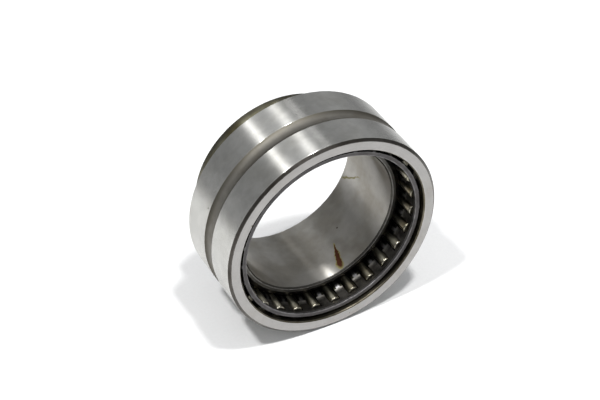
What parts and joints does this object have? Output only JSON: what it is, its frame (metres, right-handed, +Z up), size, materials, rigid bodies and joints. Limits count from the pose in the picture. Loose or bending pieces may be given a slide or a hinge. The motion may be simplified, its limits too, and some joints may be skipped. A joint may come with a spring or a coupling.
{
  "type": "needle roller bearing",
  "caption": "Needle roller bearing with machined rings: grooved outer ring, pressed cage with rounded needle rollers, and a separable inner ring pushed part way out.",
  "frame": {"origin": "centre of the outer ring, on the bearing's axis and half way along its width", "axes": "+Y along the bearing's axis, from the front face to the end where the inner ring stands out; +Z up, with the bearing lying on its outside diameter; +X to the right as seen from the front"},
  "size_m": [0.09, 0.0474, 0.09],
  "materials": {
    "outer_ring": "ground and lightly oiled bearing steel",
    "inner_ring": "ground bearing steel with a faint straw oil tint",
    "cage": "dull dark pressed sheet steel",
    "needles": "lapped bearing steel under an oil film"
  },
  "bodies": {
    "outer_ring": {"outer_ring": "outer_ring"},
    "inner_ring": {"inner_ring": "inner_ring"},
    "cage": {"needle_cage": "cage"},
    "needle_01": {"needle_01": "needles"},
    "needle_02": {"needle_02": "needles"},
    "needle_03": {"needle_03": "needles"},
    "needle_04": {"needle_04": "needles"},
    "needle_05": {"needle_05": "needles"},
    "needle_06": {"needle_06": "needles"},
    "needle_07": {"needle_07": "needles"},
    "needle_08": {"needle_08": "needles"},
    "needle_09": {"needle_09": "needles"},
    "needle_10": {"needle_10": "needles"},
    "needle_11": {"needle_11": "needles"},
    "needle_12": {"needle_12": "needles"},
    "needle_13": {"needle_13": "needles"},
    "needle_14": {"needle_14": "needles"},
    "needle_15": {"needle_15": "needles"},
    "needle_16": {"needle_16": "needles"},
    "needle_17": {"needle_17": "needles"},
    "needle_18": {"needle_18": "needles"},
    "needle_19": {"needle_19": "needles"},
    "needle_20": {"needle_20": "needles"},
    "needle_21": {"needle_21": "needles"},
    "needle_22": {"needle_22": "needles"},
    "needle_23": {"needle_23": "needles"},
    "needle_24": {"needle_24": "needles"},
    "needle_25": {"needle_25": "needles"},
    "needle_26": {"needle_26": "needles"},
    "needle_27": {"needle_27": "needles"},
    "needle_28": {"needle_28": "needles"}
  },
  "joints": [
    {"name": "inner_ring_spin", "type": "hinge", "parent": "outer_ring", "child": "inner_ring", "pos_m": [0, 0, 0], "axis": [0, 1, 0], "continuous": true},
    {"name": "cage_spin", "type": "hinge", "parent": "outer_ring", "child": "cage", "pos_m": [0, 0, 0], "axis": [0, 1, 0], "continuous": true},
    {"name": "needle_01_spin", "type": "hinge", "parent": "cage", "child": "needle_01", "pos_m": [0.00371, 0, -0.03858], "axis": [0, 1, 0], "continuous": true},
    {"name": "needle_02_spin", "type": "hinge", "parent": "cage", "child": "needle_02", "pos_m": [0.01221, 0, -0.03679], "axis": [0, 1, 0], "continuous": true},
    {"name": "needle_03_spin", "type": "hinge", "parent": "cage", "child": "needle_03", "pos_m": [0.02009, 0, -0.03315], "axis": [0, 1, 0], "continuous": true},
    {"name": "needle_04_spin", "type": "hinge", "parent": "cage", "child": "needle_04", "pos_m": [0.02696, 0, -0.02785], "axis": [0, 1, 0], "continuous": true},
    {"name": "needle_05_spin", "type": "hinge", "parent": "cage", "child": "needle_05", "pos_m": [0.03248, 0, -0.02115], "axis": [0, 1, 0], "continuous": true},
    {"name": "needle_06_spin", "type": "hinge", "parent": "cage", "child": "needle_06", "pos_m": [0.03637, 0, -0.01339], "axis": [0, 1, 0], "continuous": true},
    {"name": "needle_07_spin", "type": "hinge", "parent": "cage", "child": "needle_07", "pos_m": [0.03844, 0, -0.00496], "axis": [0, 1, 0], "continuous": true},
    {"name": "needle_08_spin", "type": "hinge", "parent": "cage", "child": "needle_08", "pos_m": [0.03858, 0, 0.00371], "axis": [0, 1, 0], "continuous": true},
    {"name": "needle_09_spin", "type": "hinge", "parent": "cage", "child": "needle_09", "pos_m": [0.03679, 0, 0.01221], "axis": [0, 1, 0], "continuous": true},
    {"name": "needle_10_spin", "type": "hinge", "parent": "cage", "child": "needle_10", "pos_m": [0.03315, 0, 0.02009], "axis": [0, 1, 0], "continuous": true},
    {"name": "needle_11_spin", "type": "hinge", "parent": "cage", "child": "needle_11", "pos_m": [0.02785, 0, 0.02696], "axis": [0, 1, 0], "continuous": true},
    {"name": "needle_12_spin", "type": "hinge", "parent": "cage", "child": "needle_12", "pos_m": [0.02115, 0, 0.03248], "axis": [0, 1, 0], "continuous": true},
    {"name": "needle_13_spin", "type": "hinge", "parent": "cage", "child": "needle_13", "pos_m": [0.01339, 0, 0.03637], "axis": [0, 1, 0], "continuous": true},
    {"name": "needle_14_spin", "type": "hinge", "parent": "cage", "child": "needle_14", "pos_m": [0.00496, 0, 0.03844], "axis": [0, 1, 0], "continuous": true},
    {"name": "needle_15_spin", "type": "hinge", "parent": "cage", "child": "needle_15", "pos_m": [-0.00371, 0, 0.03858], "axis": [0, 1, 0], "continuous": true},
    {"name": "needle_16_spin", "type": "hinge", "parent": "cage", "child": "needle_16", "pos_m": [-0.01221, 0, 0.03679], "axis": [0, 1, 0], "continuous": true},
    {"name": "needle_17_spin", "type": "hinge", "parent": "cage", "child": "needle_17", "pos_m": [-0.02009, 0, 0.03315], "axis": [0, 1, 0], "continuous": true},
    {"name": "needle_18_spin", "type": "hinge", "parent": "cage", "child": "needle_18", "pos_m": [-0.02696, 0, 0.02785], "axis": [0, 1, 0], "continuous": true},
    {"name": "needle_19_spin", "type": "hinge", "parent": "cage", "child": "needle_19", "pos_m": [-0.03248, 0, 0.02115], "axis": [0, 1, 0], "continuous": true},
    {"name": "needle_20_spin", "type": "hinge", "parent": "cage", "child": "needle_20", "pos_m": [-0.03637, 0, 0.01339], "axis": [0, 1, 0], "continuous": true},
    {"name": "needle_21_spin", "type": "hinge", "parent": "cage", "child": "needle_21", "pos_m": [-0.03844, 0, 0.00496], "axis": [0, 1, 0], "continuous": true},
    {"name": "needle_22_spin", "type": "hinge", "parent": "cage", "child": "needle_22", "pos_m": [-0.03858, 0, -0.00371], "axis": [0, 1, 0], "continuous": true},
    {"name": "needle_23_spin", "type": "hinge", "parent": "cage", "child": "needle_23", "pos_m": [-0.03679, 0, -0.01221], "axis": [0, 1, 0], "continuous": true},
    {"name": "needle_24_spin", "type": "hinge", "parent": "cage", "child": "needle_24", "pos_m": [-0.03315, 0, -0.02009], "axis": [0, 1, 0], "continuous": true},
    {"name": "needle_25_spin", "type": "hinge", "parent": "cage", "child": "needle_25", "pos_m": [-0.02785, 0, -0.02696], "axis": [0, 1, 0], "continuous": true},
    {"name": "needle_26_spin", "type": "hinge", "parent": "cage", "child": "needle_26", "pos_m": [-0.02115, 0, -0.03248], "axis": [0, 1, 0], "continuous": true},
    {"name": "needle_27_spin", "type": "hinge", "parent": "cage", "child": "needle_27", "pos_m": [-0.01339, 0, -0.03637], "axis": [0, 1, 0], "continuous": true},
    {"name": "needle_28_spin", "type": "hinge", "parent": "cage", "child": "needle_28", "pos_m": [-0.00496, 0, -0.03844], "axis": [0, 1, 0], "continuous": true}
  ],
  "couplings": [
    {"joint": "cage_spin", "follows": "inner_ring_spin", "ratio": 0.47085},
    {"joint": "needle_01_spin", "follows": "inner_ring_spin", "ratio": -8.582},
    {"joint": "needle_02_spin", "follows": "inner_ring_spin", "ratio": -8.582},
    {"joint": "needle_03_spin", "follows": "inner_ring_spin", "ratio": -8.582},
    {"joint": "needle_04_spin", "follows": "inner_ring_spin", "ratio": -8.582},
    {"joint": "needle_05_spin", "follows": "inner_ring_spin", "ratio": -8.582},
    {"joint": "needle_06_spin", "follows": "inner_ring_spin", "ratio": -8.582},
    {"joint": "needle_07_spin", "follows": "inner_ring_spin", "ratio": -8.582},
    {"joint": "needle_08_spin", "follows": "inner_ring_spin", "ratio": -8.582},
    {"joint": "needle_09_spin", "follows": "inner_ring_spin", "ratio": -8.582},
    {"joint": "needle_10_spin", "follows": "inner_ring_spin", "ratio": -8.582},
    {"joint": "needle_11_spin", "follows": "inner_ring_spin", "ratio": -8.582},
    {"joint": "needle_12_spin", "follows": "inner_ring_spin", "ratio": -8.582},
    {"joint": "needle_13_spin", "follows": "inner_ring_spin", "ratio": -8.582},
    {"joint": "needle_14_spin", "follows": "inner_ring_spin", "ratio": -8.582},
    {"joint": "needle_15_spin", "follows": "inner_ring_spin", "ratio": -8.582},
    {"joint": "needle_16_spin", "follows": "inner_ring_spin", "ratio": -8.582},
    {"joint": "needle_17_spin", "follows": "inner_ring_spin", "ratio": -8.582},
    {"joint": "needle_18_spin", "follows": "inner_ring_spin", "ratio": -8.582},
    {"joint": "needle_19_spin", "follows": "inner_ring_spin", "ratio": -8.582},
    {"joint": "needle_20_spin", "follows": "inner_ring_spin", "ratio": -8.582},
    {"joint": "needle_21_spin", "follows": "inner_ring_spin", "ratio": -8.582},
    {"joint": "needle_22_spin", "follows": "inner_ring_spin", "ratio": -8.582},
    {"joint": "needle_23_spin", "follows": "inner_ring_spin", "ratio": -8.582},
    {"joint": "needle_24_spin", "follows": "inner_ring_spin", "ratio": -8.582},
    {"joint": "needle_25_spin", "follows": "inner_ring_spin", "ratio": -8.582},
    {"joint": "needle_26_spin", "follows": "inner_ring_spin", "ratio": -8.582},
    {"joint": "needle_27_spin", "follows": "inner_ring_spin", "ratio": -8.582},
    {"joint": "needle_28_spin", "follows": "inner_ring_spin", "ratio": -8.582}
  ]
}
